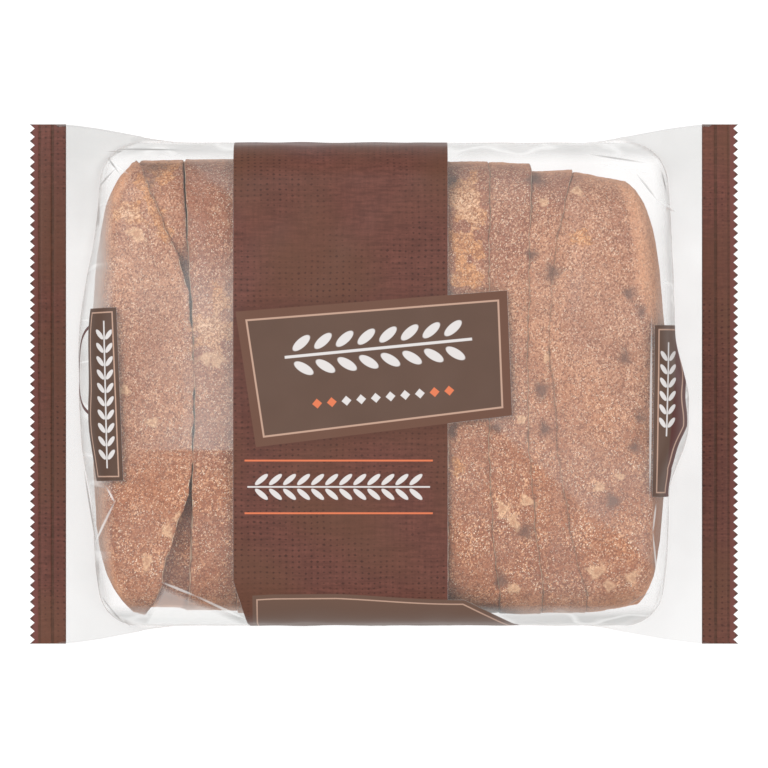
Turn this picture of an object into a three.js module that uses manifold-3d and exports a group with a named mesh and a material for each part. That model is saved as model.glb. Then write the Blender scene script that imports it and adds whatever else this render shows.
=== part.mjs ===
// A sliced loaf shut in a flow-wrapped bag that lies on its flat underside. The film goes straight
// over the loaf and falls steeply at both ends to a flat fin at half height. The fin is a little
// wider than the body and runs back round the body's rounded corners as flat ears, which narrow
// until they meet its sides. Each fin ends in a crimped seal with a row of teeth. The shut bag is
// one solid: its skin is the film's outer form.
// Millimetres, +Z up, length along X, origin in the middle of the underside.

import * as THREE from 'three';
import { mergeVertices } from 'three/addons/utils/BufferGeometryUtils.js';
import Module from 'manifold-3d';

const wasm = await Module();
wasm.setup();

// Whole bag
const HALF_LENGTH = 102.7;      // middle to a tooth's tip
const BODY_WIDTH = 139.6;
const BODY_HEIGHT = 78;
const FIN_WIDTH = 150.6;
const FIN_LEVEL = 38;           // height of the fins' middle plane

// Fins, ears and crimped seals
const FIN_THICKNESS = 0.6;
const SEAL_THICKNESS = 0.9;
const SEAL_DEPTH = 10.5;        // from a tooth's tip to the seal's inner edge
const SEAL_LAP = 2.5;           // how far the fin reaches into the seal
const TOOTH_COUNT = 62;         // whole teeth; each corner has half a tooth besides
const TOOTH_DEPTH = 1.4;
const FLARE_START_X = 53;       // where the ears leave the body's sides
const FLARE_END_X = 96;         // where they reach the fin's full width
const EAR_FULL_WIDTH = 2.5;     // an ear at least this wide is as thin as the fin

// Ends, where the film falls from the loaf to the fin
const SHOULDER_X = 76;          // where the top and the underside start to turn
const ROOT_X = 88;              // where the end's middle meets the fin
const END_POWER = 3;            // 2 is a round end, more is a squarer one
const END_BOW = 3.5;            // how far the end's sides lie behind its middle
const CORNER_RADIUS = 10;       // round corners of the body, seen from above
const SETBACK_START_X = 50;
const SETBACK_END_X = 92;
const FILLET = 0.07;            // share of the height left where the end meets the fin
const FILLET_REACH = 5;
const LEVEL_BELOW = 6;          // the cross-section flattens where its half height is less
// Each end bulges in its middle and hugs the loaf to both sides of it: where the bulge lies,
// its half width, the width over which the film sinks back, and how far on the -Y and +Y side
const LEFT_HUG = { y: 4, half: 8, slope: 40, near: 3.3, far: 4 };
const RIGHT_HUG = { y: -8, half: 3, slope: 20, near: 5, far: 4 };

// Long edges and sides of the body
const EDGE_RADIUS = 12;
const END_EDGE_RADIUS = 20;     // the same edges where they turn down to the fins
const END_EDGE_DROP = 0.5;      // share of the half height that those rounder edges take
const TOP_CROWN = 1.4;          // how much lower the top is at its long edges
const SIDE_BULGE = 2.6;         // how far the sides stand out at half height

// Shallow dips of the film over the gaps behind the two end slices: place, half width, depth
const GAP_DIPS = [
  { x: -57.5, spread: 4.5, depth: 1.6 },
  { x: 52, spread: 3.5, depth: 0.8 },
];
const DIP_FADE_Y = 62;

// Facets: steps on a quarter of a cross-section, and the stations along the length
const TOP_STEPS = 7;
const EDGE_STEPS = 4;
const SIDE_STEPS = 3;
const EAR_HEIGHTS = [7.5, 4.6, 2.2, 0.6];   // where an ear's points lie before it leaves the side
const END_STEPS = 8;
const BODY_STATIONS = [
  -72, -68, -64, -60, -57.5, -55, -51, -40, -20, 0, 20, 40, 48, 52, 56, 60, 64, 68, 72,
];
const FIN_STATIONS = [0.8, 2, 3.2, 4.2];         // steps outwards from the root

const TAN_CRUST = 0xc08f74;

const clamp01 = (value) => Math.min(1, Math.max(0, value));

function smooth(value) {
  const t = clamp01(value);
  return t * t * (3 - 2 * t);
}

function mix(a, b, share) {
  return a + (b - a) * share;
}

// Share of the full height at a distance from the middle: 1 on the body, falling to 0 on the fin.
function heightShare(distance) {
  if (distance <= SHOULDER_X) {
    return 1;
  }
  if (distance >= ROOT_X) {
    return FILLET * (1 - clamp01((distance - ROOT_X) / FILLET_REACH)) ** 3;
  }
  const along = (distance - SHOULDER_X) / (ROOT_X - SHOULDER_X);
  return FILLET + (1 - FILLET) * (1 - along ** END_POWER) ** (1 / END_POWER);
}

// How far behind its station a point at y lies: the bowed end that hugs the loaf and the body's
// rounded corners.
function setback(station, y) {
  const distance = Math.abs(station);
  const out = Math.min(Math.abs(y), BODY_WIDTH / 2);
  const round = clamp01((out - BODY_WIDTH / 2 + CORNER_RADIUS) / CORNER_RADIUS);
  const hug = station < 0 ? LEFT_HUG : RIGHT_HUG;
  const full = END_BOW * (out / (BODY_WIDTH / 2)) ** 2.5
    + hug.near * smooth((hug.y - y - hug.half) / hug.slope)
    + hug.far * smooth((y - hug.y - hug.half) / hug.slope)
    + CORNER_RADIUS * (1 - Math.sqrt(1 - Math.min(round, 0.995) ** 2));
  const growing = smooth((distance - SETBACK_START_X) / (ROOT_X - SETBACK_START_X));
  return full * growing * (1 - smooth((distance - ROOT_X) / (SETBACK_END_X - ROOT_X)));
}

// Half the width over the ears and the fin.
function outerHalfWidth(distance) {
  const flare = smooth((distance - FLARE_START_X) / (FLARE_END_X - FLARE_START_X));
  return mix(BODY_WIDTH, FIN_WIDTH, flare) / 2;
}

// A quarter of the cross-section at a station, as [y, height above the fin's level], from the
// middle of the top, or of the underside, to the outer edge at half height. Towards the fin its
// points spread out into one level row.
function quarterSection(station, fullHeight) {
  const distance = Math.abs(station);
  const finHalf = FIN_THICKNESS / 2;
  const height = finHalf + (fullHeight - finHalf) * heightShare(distance);
  const turn = smooth((distance - SHOULDER_X + EDGE_RADIUS) / (ROOT_X - SHOULDER_X + EDGE_RADIUS));
  const flat = smooth((LEVEL_BELOW - height) / (LEVEL_BELOW - finHalf));
  const halfWidth = BODY_WIDTH / 2;
  const radiusY = Math.min(mix(EDGE_RADIUS, END_EDGE_RADIUS, turn), height);
  const radiusZ = Math.min(mix(EDGE_RADIUS, END_EDGE_DROP * height, turn), END_EDGE_DROP * height);
  const bulge = SIDE_BULGE * heightShare(distance);
  const side = (z) => halfWidth - bulge * (z / fullHeight) ** 2;
  const edgeY = side(height - radiusZ) - radiusY;
  const low = Math.max(finHalf, Math.min(EAR_HEIGHTS[0], 0.5 * (height - radiusZ)));

  const top = [];
  for (let i = 0; i < TOP_STEPS; i += 1) {
    top.push([edgeY * (i / TOP_STEPS), height]);
  }
  const turned = [];
  for (let i = 0; i <= EDGE_STEPS; i += 1) {
    const angle = (Math.PI / 2) * (i / EDGE_STEPS);
    turned.push([edgeY + radiusY * Math.sin(angle), height - radiusZ * (1 - Math.cos(angle))]);
  }
  for (let i = 1; i < SIDE_STEPS; i += 1) {
    const z = mix(height - radiusZ, low, i / SIDE_STEPS);
    turned.push([side(z), z]);
  }
  const behind = setback(station, halfWidth);
  const ear = outerHalfWidth(distance - behind) - halfWidth;
  const leaving = clamp01(ear / EAR_FULL_WIDTH);
  const outer = EAR_HEIGHTS.map((earHeight, k) => {
    const outwards = k / (EAR_HEIGHTS.length - 1);
    const upright = Math.min(earHeight, mix(low, finHalf, outwards));
    return [halfWidth + ear * outwards, mix(upright, finHalf, leaving)];
  });

  const level = halfWidth - EDGE_RADIUS;
  const levelled = (points, from, to) => points.map(([y, z], i) => [
    mix(y, mix(from, to, i / points.length), flat),
    mix(z, finHalf, flat),
  ]);
  return [...levelled(top, 0, level), ...levelled(turned, level, halfWidth), ...outer];
}

// Moves a section's point to its place on the bag: the setback, the crowned top and its dips.
function placed(station, y, height) {
  const x = station - Math.sign(station) * setback(station, y);
  const top = smooth(height / (BODY_HEIGHT - FIN_LEVEL));
  const across = Math.min(1, Math.abs(y) / (BODY_WIDTH / 2));
  let fall = TOP_CROWN * across ** 2;
  for (const dip of GAP_DIPS) {
    const fade = 1 - smooth((Math.abs(y) - DIP_FADE_Y + 12) / 12);
    fall += dip.depth * fade * Math.exp(-(((x - dip.x) / dip.spread) ** 2));
  }
  return [x, y, FIN_LEVEL + height - fall * top ** 4];
}

// The whole cross-section at a station, round from the middle of the top.
function section(station) {
  const upper = quarterSection(station, BODY_HEIGHT - FIN_LEVEL);
  const lower = quarterSection(station, FIN_LEVEL).reverse().map(([y, z]) => [y, -z]);
  const half = [...upper, ...lower];
  const mirrored = half.slice(1, -1).reverse().map(([y, z]) => [-y, z]);
  return [...half, ...mirrored].map(([y, z]) => placed(station, y, z));
}

function stations() {
  const end = [];
  for (let i = 0; i <= END_STEPS; i += 1) {
    const angle = (Math.PI / 2) * (i / END_STEPS);
    end.push(SHOULDER_X + (ROOT_X - SHOULDER_X) * Math.sin(angle) ** (2 / END_POWER));
  }
  end.push(...FIN_STATIONS.map((step) => ROOT_X + step));
  end.push(HALF_LENGTH - SEAL_DEPTH + SEAL_LAP);
  return [...end.map((x) => -x).reverse(), ...BODY_STATIONS, ...end];
}

// Closed skin through the cross-sections, with flat caps inside the two seals.
function bodyGeometry() {
  const rings = stations().map(section);
  const around = rings[0].length;
  const triangles = [];
  for (let i = 0; i + 1 < rings.length; i += 1) {
    for (let k = 0; k < around; k += 1) {
      const a = i * around + k;
      const b = i * around + ((k + 1) % around);
      const c = b + around;
      const d = a + around;
      triangles.push(a, d, c, a, c, b);
    }
  }
  const capX = HALF_LENGTH - SEAL_DEPTH + SEAL_LAP;
  const centres = [[-capX, 0, FIN_LEVEL], [capX, 0, FIN_LEVEL]];
  const last = (rings.length - 1) * around;
  const centre = rings.length * around;
  for (let k = 0; k < around; k += 1) {
    const next = (k + 1) % around;
    triangles.push(centre, k, next, centre + 1, last + next, last + k);
  }
  const geometry = new THREE.BufferGeometry();
  const positions = [...rings, centres].flat(2);
  geometry.setAttribute('position', new THREE.Float32BufferAttribute(positions, 3));
  geometry.setIndex(triangles);
  return geometry;
}

// One crimped seal: a flat strip with a row of teeth along its outer edge.
function sealGeometry(side) {
  const pitch = FIN_WIDTH / TOOTH_COUNT;
  const inner = side * (HALF_LENGTH - SEAL_DEPTH);
  const valley = side * (HALF_LENGTH - TOOTH_DEPTH);
  const shape = new THREE.Shape();
  shape.moveTo(inner, -FIN_WIDTH / 2);
  shape.lineTo(side * HALF_LENGTH, -FIN_WIDTH / 2);
  for (let i = 0; i < TOOTH_COUNT; i += 1) {
    const start = -FIN_WIDTH / 2 + i * pitch;
    shape.lineTo(valley, start + pitch / 2);
    shape.lineTo(side * HALF_LENGTH, start + pitch);
  }
  shape.lineTo(inner, FIN_WIDTH / 2);
  shape.closePath();
  const geometry = new THREE.ExtrudeGeometry(shape, { depth: SEAL_THICKNESS, bevelEnabled: false });
  geometry.translate(0, 0, FIN_LEVEL - SEAL_THICKNESS / 2);
  return geometry;
}

function toSolid(geometry) {
  geometry.deleteAttribute('normal');
  geometry.deleteAttribute('uv');
  const merged = mergeVertices(geometry, 1e-4);
  return new wasm.Manifold(new wasm.Mesh({
    numProp: 3,
    vertProperties: new Float32Array(merged.attributes.position.array),
    triVerts: new Uint32Array(merged.index.array),
  }));
}

function toGeometry(solid) {
  const mesh = solid.getMesh();
  const geometry = new THREE.BufferGeometry();
  geometry.setAttribute('position', new THREE.Float32BufferAttribute(mesh.vertProperties, 3));
  geometry.setIndex(Array.from(mesh.triVerts));
  geometry.computeVertexNormals();
  return geometry;
}

const bagSolid = [-1, 1].reduce(
  (solid, side) => solid.add(toSolid(sealGeometry(side))),
  toSolid(bodyGeometry()),
);

const filledBag = new THREE.Mesh(
  toGeometry(bagSolid),
  new THREE.MeshStandardMaterial({ color: TAN_CRUST, roughness: 0.3, metalness: 0 }),
);
filledBag.name = 'filled_bag';

const loafBag = new THREE.Group();
loafBag.name = 'loaf_bag';
loafBag.add(filledBag);

export default loafBag;
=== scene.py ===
"""A sliced loaf in a flow-wrapped bread bag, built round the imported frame."""

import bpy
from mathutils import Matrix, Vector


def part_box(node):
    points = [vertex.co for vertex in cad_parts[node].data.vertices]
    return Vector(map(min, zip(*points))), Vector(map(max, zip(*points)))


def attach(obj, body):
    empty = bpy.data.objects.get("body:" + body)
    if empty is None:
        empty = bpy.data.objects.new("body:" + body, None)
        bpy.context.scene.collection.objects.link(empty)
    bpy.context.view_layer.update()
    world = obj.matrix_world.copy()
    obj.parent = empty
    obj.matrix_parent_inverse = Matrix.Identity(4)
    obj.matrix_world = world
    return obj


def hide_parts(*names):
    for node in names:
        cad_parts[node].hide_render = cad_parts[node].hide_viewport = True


bl_info = {
    "name": "Loaf in a bread bag",
    "version": (1, 0, 0),
    "blender": (4, 5, 0),
    "location": "View3D > Sidebar > Bread Bag",
    "description": "Builds the film, its printed band and seals, and the slices inside",
    "category": "Object",
}

import math
import random

import bpy
import numpy as np
from mathutils import Vector

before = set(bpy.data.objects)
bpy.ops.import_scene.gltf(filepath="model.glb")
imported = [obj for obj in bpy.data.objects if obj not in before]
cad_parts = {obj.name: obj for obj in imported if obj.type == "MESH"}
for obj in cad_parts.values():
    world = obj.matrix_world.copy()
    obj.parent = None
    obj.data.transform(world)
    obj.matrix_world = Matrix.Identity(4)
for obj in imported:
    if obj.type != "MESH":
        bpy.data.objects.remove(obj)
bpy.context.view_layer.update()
BODY = "root"
BAG = "filled_bag"
LOW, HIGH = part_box(BAG)
MM = 0.001
# How far the fins reach past the body on both sides together.
EAR_WIDTHS = 0.011
# Corners that lie this close together are welded.
WELD = 2e-6


# Property groups

class BagSizes(bpy.types.PropertyGroup):
    """Sizes of the film bag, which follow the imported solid."""

    half_length: bpy.props.FloatProperty(
        name="Half length", description="Middle of the bag to a tooth's tip",
        default=HIGH.x, unit="LENGTH")
    fin_width: bpy.props.FloatProperty(
        name="Fin width", description="Width over the fins and seals",
        default=HIGH.y - LOW.y, unit="LENGTH")
    body_width: bpy.props.FloatProperty(
        name="Body width", description="Width over the film round the loaf",
        default=HIGH.y - LOW.y - EAR_WIDTHS, unit="LENGTH")
    height: bpy.props.FloatProperty(
        name="Height", description="Height of the film over the loaf",
        default=HIGH.z, unit="LENGTH")
    fin_level: bpy.props.FloatProperty(
        name="Fin level", description="Height of the fins' middle plane",
        default=0.038, unit="LENGTH")
    seal_depth: bpy.props.FloatProperty(
        name="Seal depth", description="From a tooth's tip to the seal's inner edge",
        default=0.0105, unit="LENGTH")
    tooth_depth: bpy.props.FloatProperty(
        name="Tooth depth", description="Depth of the cut teeth",
        default=0.0014, unit="LENGTH")
    tooth_count: bpy.props.IntProperty(
        name="Teeth", description="Teeth along one seal", default=62)
    under_gap: bpy.props.FloatProperty(
        name="Under gap", description="Room for the back seam under the film",
        default=0.0004, unit="LENGTH")


class LoafSizes(bpy.types.PropertyGroup):
    """Sizes of the loaf and its slices."""

    half_width: bpy.props.FloatProperty(
        name="Half width", description="Half the loaf's width", default=0.0655, unit="LENGTH")
    bottom: bpy.props.FloatProperty(
        name="Bottom", description="Height of the loaf's underside", default=0.0009,
        unit="LENGTH")
    top: bpy.props.FloatProperty(
        name="Top", description="Height of the loaf's top crust", default=0.0758,
        unit="LENGTH")
    squareness: bpy.props.FloatProperty(
        name="Squareness", description="2 is a round slice, more is a squarer one", default=5.5)
    crust_step: bpy.props.FloatProperty(
        name="Crust step", description="Mesh step on the top crust", default=0.0009,
        unit="LENGTH")


class Colours(bpy.types.PropertyGroup):
    """Colours of the crust, the crumb and the print, as linear values."""

    crust: bpy.props.FloatVectorProperty(
        name="Crust", description="Tan top crust", subtype="COLOR", default=(0.60, 0.287, 0.160))
    crust_warm: bpy.props.FloatVectorProperty(
        name="Warm crust", description="Oranger crust towards the near side", subtype="COLOR",
        default=(0.455, 0.164, 0.068))
    crust_deep: bpy.props.FloatVectorProperty(
        name="Deep crust", description="Browner parts of the crust", subtype="COLOR",
        default=(0.34, 0.122, 0.064))
    crust_side: bpy.props.FloatVectorProperty(
        name="Side crust", description="Smooth crust that lay against the tin",
        subtype="COLOR", default=(0.82, 0.40, 0.215))
    crumb: bpy.props.FloatVectorProperty(
        name="Crumb", description="Cut faces of the slices", subtype="COLOR",
        default=(0.70, 0.52, 0.36))
    band: bpy.props.FloatVectorProperty(
        name="Band", description="Brown printed band and seals", subtype="COLOR",
        default=(0.120, 0.042, 0.030))
    plate: bpy.props.FloatVectorProperty(
        name="Plate", description="Plain plates on the band and the ends", subtype="COLOR",
        default=(0.110, 0.062, 0.044))
    line: bpy.props.FloatVectorProperty(
        name="Line", description="Thin border of the plates", subtype="COLOR",
        default=(0.44, 0.28, 0.21))
    light_print: bpy.props.FloatVectorProperty(
        name="Light print", description="Off-white printed shapes", subtype="COLOR",
        default=(0.60, 0.57, 0.56))
    veil: bpy.props.FloatVectorProperty(
        name="Veil", description="Grey that the clear film adds", subtype="COLOR",
        default=(0.64, 0.64, 0.63))
    fin_veil: bpy.props.FloatVectorProperty(
        name="Fin veil", description="Grey of the doubled film at the fins", subtype="COLOR",
        default=(0.42, 0.42, 0.41))
    warm_print: bpy.props.FloatVectorProperty(
        name="Warm print", description="Terracotta printed shapes", subtype="COLOR",
        default=(0.62, 0.16, 0.07))


class StageLook(bpy.types.PropertyGroup):
    """Camera and light."""

    view_width: bpy.props.FloatProperty(
        name="View width", description="Width that the camera sees at the fins' height",
        default=0.2227, unit="LENGTH")
    camera_distance: bpy.props.FloatProperty(
        name="Camera distance", description="Camera above the fins", default=2.2,
        unit="LENGTH")
    room_light: bpy.props.FloatProperty(
        name="Room light", description="Strength of the even light all round", default=0.66)
    floor_glow: bpy.props.FloatProperty(
        name="Floor glow", description="Light that the pale floor gives off itself",
        default=0.88)


# Small helpers

def smooth(value):
    t = np.clip(value, 0.0, 1.0)
    return t * t * (3 - 2 * t)


def mix(a, b, share):
    return a + (b - a) * share


def deselect():
    bpy.ops.object.select_all(action="DESELECT")


def choose(piece):
    deselect()
    piece.select_set(True)
    bpy.context.view_layer.objects.active = piece


def places(piece):
    co = np.empty(len(piece.data.vertices) * 3)
    piece.data.vertices.foreach_get("co", co)
    return co.reshape(-1, 3)


def put(piece, co):
    piece.data.vertices.foreach_set("co", np.ascontiguousarray(co).ravel())
    piece.data.update()


def face_values(piece, name):
    values = np.empty(len(piece.data.polygons) * 3)
    piece.data.polygons.foreach_get(name, values)
    return values.reshape(-1, 3)


def sheet_piece(name, points):
    """Adds a grid, lays its corners out as points says (rows, columns, 3) and welds what meets."""
    rows, columns = points.shape[:2]
    deselect()
    bpy.ops.mesh.primitive_grid_add(x_subdivisions=columns - 1, y_subdivisions=rows - 1, size=1)
    piece = bpy.context.object
    piece.name = piece.data.name = name
    put(piece, points.reshape(-1, 3))
    bpy.ops.object.mode_set(mode="EDIT")
    bpy.ops.mesh.select_all(action="SELECT")
    bpy.ops.mesh.remove_doubles(threshold=WELD)
    bpy.ops.mesh.normals_make_consistent(inside=False)
    bpy.ops.object.mode_set(mode="OBJECT")
    bpy.ops.object.shade_smooth()
    return piece


def roughen(piece, name, size, strength):
    """Pushes the surface in and out by a procedural pattern of that size, and applies it."""
    pattern = bpy.data.textures.new(name, "CLOUDS")
    pattern.noise_scale = size
    pattern.noise_depth = 2
    choose(piece)
    push = piece.modifiers.new(name, "DISPLACE")
    push.texture = pattern
    push.texture_coords = "LOCAL"
    push.strength = strength
    push.mid_level = 0.5
    bpy.ops.object.modifier_apply(modifier=name)


def set_attribute(piece, name, values):
    attribute = piece.data.attributes.new(name, "FLOAT", "POINT")
    attribute.data.foreach_set("value", np.asarray(values, np.float32))


def finish_piece(piece):
    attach(piece, BODY)


# Shader expressions

class Tone:
    """A shader value or colour that can be used in Python sums and products."""

    def __init__(self, finish, socket):
        self.finish = finish
        self.socket = socket

    def _math(self, operation, *values):
        return self.finish.node("Math", 0, {"operation": operation}, values)

    def __add__(self, other):
        return self._math("ADD", self, other)

    def __radd__(self, other):
        return self._math("ADD", other, self)

    def __sub__(self, other):
        return self._math("SUBTRACT", self, other)

    def __rsub__(self, other):
        return self._math("SUBTRACT", other, self)

    def __mul__(self, other):
        return self._math("MULTIPLY", self, other)

    def __rmul__(self, other):
        return self._math("MULTIPLY", other, self)

    def __truediv__(self, other):
        return self._math("DIVIDE", self, other)

    def __pow__(self, other):
        return self._math("POWER", self, other)

    def __neg__(self):
        return self._math("MULTIPLY", self, -1.0)

    def __abs__(self):
        return self._math("ABSOLUTE", self)

    def least(self, other):
        return self._math("MINIMUM", self, other)

    def most(self, other):
        return self._math("MAXIMUM", self, other)

    def fraction(self):
        return self._math("FRACT", self)

    def sine(self):
        return self._math("SINE", self)


class Finish:
    """One material and the nodes that make it."""

    def __init__(self, name):
        self.material = bpy.data.materials.new(name)
        self.material.use_nodes = True
        self.tree = self.material.node_tree
        self.tree.nodes.clear()

    def feed(self, socket, value):
        if isinstance(value, Tone):
            self.tree.links.new(value.socket, socket)
        elif socket.type == "RGBA":
            socket.default_value = (*value[:3], 1.0)
        else:
            socket.default_value = value

    def node(self, kind, output=0, settings=None, values=()):
        made = self.tree.nodes.new("ShaderNode" + kind)
        for name, value in (settings or {}).items():
            setattr(made, name, value)
        pairs = values.items() if isinstance(values, dict) else enumerate(values)
        for name, value in pairs:
            self.feed(made.inputs[name], value)
        return Tone(self, made.outputs[output])

    def place(self):
        """Object coordinates in millimetres, as three values."""
        at = self.node("TexCoord", "Object")
        return [self.node("SeparateXYZ", axis, None, [at]) * 1000.0 for axis in "XYZ"]

    def attribute(self, name):
        return self.node("Attribute", "Fac", {"attribute_name": name})

    def ramp(self, value, low, high):
        """0 below low and 1 above high; low may be the larger one."""
        return self.node("MapRange", "Result", None,
                         {"Value": value, "From Min": low, "From Max": high})

    def noise(self, scale, detail=2.0, roughness=0.5, stretch=None):
        values = {"Scale": scale, "Detail": detail, "Roughness": roughness}
        at = self.node("TexCoord", "Object")
        if stretch:
            at = self.node("Mapping", 0, None, {"Vector": at, "Scale": stretch})
        return self.node("TexNoise", "Fac", None, {"Vector": at, **values})

    def cells(self, scale):
        """0 in the middle of each cell, rising towards its edge."""
        at = self.node("TexCoord", "Object")
        return self.node("TexVoronoi", "Distance", None, {"Vector": at, "Scale": scale})

    def grains(self, scale):
        """A value of its own for each grain of a coarse powder."""
        at = self.node("TexCoord", "Object")
        return self.node("TexVoronoi", "Color", None, {"Vector": at, "Scale": scale})

    def strokes(self, folds):
        """Narrow spots that fade at both ends, one for each (start, end, half width) in mm."""
        at = self.node("TexCoord", "Object")
        total = None
        for start, end, width in folds:
            along = Vector(end) - Vector(start)
            middle = (Vector(end) + Vector(start)) / 2 * MM
            near = self.node("Mapping", 0, {"vector_type": "TEXTURE"}, {
                "Vector": at, "Location": (*middle, 0.0),
                "Rotation": (0.0, 0.0, math.atan2(along.y, along.x)),
                "Scale": (along.length * 0.6 * MM, width * MM, 1000.0)})
            spot = self.node("TexGradient", "Fac", {"gradient_type": "SPHERICAL"}, [near])
            total = spot if total is None else total.most(spot)
        return self.ramp(total, 0.0, 0.5) if total else 0.0

    def blend(self, share, a, b):
        """Colour a where share is 0 and b where it is 1."""
        return self.node("Mix", 2, {"data_type": "RGBA"}, {0: share, 6: a, 7: b})

    def bump(self, height, distance, strength=1.0):
        return self.node("Bump", 0, None,
                         {"Height": height, "Distance": distance, "Strength": strength})

    def skin(self, **values):
        """A Principled shader with those sockets fed."""
        named = {name.replace("_", " "): value for name, value in values.items()}
        return self.node("BsdfPrincipled", 0, None, named)

    def clear(self, share, skin):
        """Clear air where share is 0 and the skin where it is 1."""
        return self.node("MixShader", 0, None, [share, self.node("BsdfTransparent"), skin])

    def done(self, surface):
        output = self.tree.nodes.new("ShaderNodeOutputMaterial")
        self.tree.links.new(surface.socket, output.inputs["Surface"])
        return self.material


# Finishes

# Colours of the crust's flour, flakes, blisters and marks, and of the painted shade in its seams,
# in the wedges and low down, as linear values.
LIGHT_PATCH = (0.60, 0.31, 0.18)
DARK_PATCH = (0.32, 0.115, 0.060)
LIGHT_FLOUR = (0.84, 0.50, 0.32)
WARM_FLOUR = (0.80, 0.43, 0.24)
DARK_FLOUR = (0.20, 0.062, 0.028)
LIGHT_DUST = (1.0, 0.82, 0.63)
DARK_DUST = (0.14, 0.048, 0.022)
UNLIT_CRUST = (0.26, 0.095, 0.036)
FLAKE_GLOW = (0.74, 0.34, 0.135)
FLAKE_PALE = (0.96, 0.62, 0.40)
FLAKE_BROWN = (0.45, 0.18, 0.065)
FLAKE_DUST = (0.96, 0.72, 0.50)
FLAKE_VEIN = (0.28, 0.090, 0.030)
BLISTER_RIM = (0.90, 0.58, 0.35)
BLISTER_MIDDLE = (0.46, 0.20, 0.10)
HOLE_BROWN = (0.16, 0.074, 0.050)
SEAM_SHADE = (0.15, 0.052, 0.025)
WEDGE_SHADE = (0.14, 0.064, 0.046)
# The side crust's darker parts, as a share of its colour.
SIDE_DARKER = 0.84
# Between these x in millimetres the painted shade on the right end's dark strip of crust sets in.
SHADED_END_X = (76.2, 77.4)


def crust_finish(colours):
    """Tan floury crust with browner mottling, flaked patches, pale blisters and holes."""
    fin = Finish("crust")
    x, y, z = fin.place()
    flaked = fin.attribute("flaked")
    pale = fin.attribute("pale")
    hollow = fin.attribute("hollow")
    rim = fin.attribute("rim")
    tin = fin.attribute("tin")
    toast = fin.attribute("toast")
    level = fin.attribute("level")
    shade = fin.attribute("shade")
    broad = fin.noise(62.0, 3.0)
    middle = fin.noise(330.0, 3.0, 0.6)
    veins = fin.noise(620.0, 2.0, 0.5)
    flour = fin.grains(2300.0)
    dust = fin.grains(4000.0)
    lively = fin.ramp(y + (broad - 0.5) * 60.0, 8.0, -34.0)
    patchy = fin.ramp(fin.noise(130.0, 3.0, 0.6), 0.36, 0.64)

    near_edge = fin.ramp(y, 0.0, -40.0) * 4.0
    side = fin.ramp(level + (middle - 0.5) * 14.0 - near_edge, 67.0, 60.0).most(
        fin.ramp(tin + (middle - 0.5) * 1.5, 0.2, 0.9)) * 0.8
    top = 1 - side * 0.55
    shaded_end = fin.ramp(x, *SHADED_END_X) * fin.ramp(y, -29.0, -32.5) * fin.ramp(y, -62.0, -52.0)
    low = fin.ramp(z + (middle - 0.5) * 12.0, 42.0, 4.0)
    base = fin.blend(lively, colours.crust, colours.crust_warm)
    base = fin.blend(fin.ramp(broad + toast * 0.35, 0.40, 0.84), base, colours.crust_deep)
    base = fin.blend(fin.ramp(middle, 0.50, 0.72) * 0.45, base, LIGHT_PATCH)
    base = fin.blend(side, base, fin.blend(fin.ramp(middle, 0.3, 0.7), colours.crust_side,
                                           [c * SIDE_DARKER for c in colours.crust_side]))
    base = fin.blend((1 - patchy) * top * 0.35, base, DARK_PATCH)
    base = fin.blend(fin.ramp(flour, 0.44, 0.22) * top * 0.68, base, DARK_FLOUR)
    bare = 1 - fin.ramp(toast, 0.95, 1.35) * 0.5
    floury = fin.blend(lively, LIGHT_FLOUR, WARM_FLOUR)
    base = fin.blend(fin.ramp(flour, 0.64, 0.82) * top * bare
                     * (0.24 + patchy * (0.45 + lively * 0.2)), base, floury)
    base = fin.blend(fin.ramp(dust, 0.76, 0.90) * top * (0.40 + patchy * (0.35 + lively * 0.25)),
                     base, LIGHT_DUST)
    base = fin.blend(fin.ramp(dust, 0.26, 0.12) * top * 0.5, base, DARK_DUST)
    # Painted shade: the crust darkens towards the bottom, partly also the browner crust from the
    # tin, and on the right end's strip beside the plate.
    base = fin.blend((low * 0.6).most(shaded_end * 0.85), base, UNLIT_CRUST)

    ragged = (middle - 0.5) * 1.3 + (veins - 0.5) * 0.5
    glow = fin.blend(pale, FLAKE_GLOW, FLAKE_PALE)
    clump = fin.blend(fin.ramp(flour, 0.10, 0.80), FLAKE_BROWN, glow)
    clump = fin.blend(fin.ramp(dust, 0.70, 0.86) * 0.6, clump, FLAKE_DUST)
    clump = fin.blend(fin.ramp(abs(veins - 0.5), 0.055, 0.015) * 0.8, clump, FLAKE_VEIN)
    base = fin.blend(fin.ramp(flaked + ragged, 0.42, 0.62) * 0.85, base, clump)
    blister = fin.ramp(pale + ragged - flaked, 0.34, 0.72)
    base = fin.blend(blister * (0.30 + dust * 0.5), base, BLISTER_RIM)
    base = fin.blend(fin.ramp(pale - flaked, 0.80, 0.94) * 0.60, base, BLISTER_MIDDLE)
    base = fin.blend(fin.ramp(hollow + ragged * 0.3, 0.05, 0.85) * 0.80, base, HOLE_BROWN)
    # Painted shade: the seams between the slices are darkened along the cut rims.
    base = fin.blend(rim * fin.ramp(middle, 0.34, 0.62) * 0.60, base, SEAM_SHADE)
    # Painted shade on the sunk slice behind the wedges, beside the heel's cut.
    base = fin.blend(shade * fin.ramp(middle, 0.3, 0.6) * 0.62, base, WEDGE_SHADE)

    height = flour * 0.30 + middle * 0.9 + dust * 0.15 + veins * flaked * 1.5
    skin = fin.skin(
        Base_Color=base, Roughness=0.62 + 0.25 * middle, Specular_IOR_Level=0.25,
        Normal=fin.bump(height, 0.0007, 0.8))
    return fin.done(skin)


# The crumb between its pores, and inside them.
CRUMB_LIGHT = (0.80, 0.64, 0.47)
CRUMB_PORE = (0.42, 0.27, 0.16)


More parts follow.
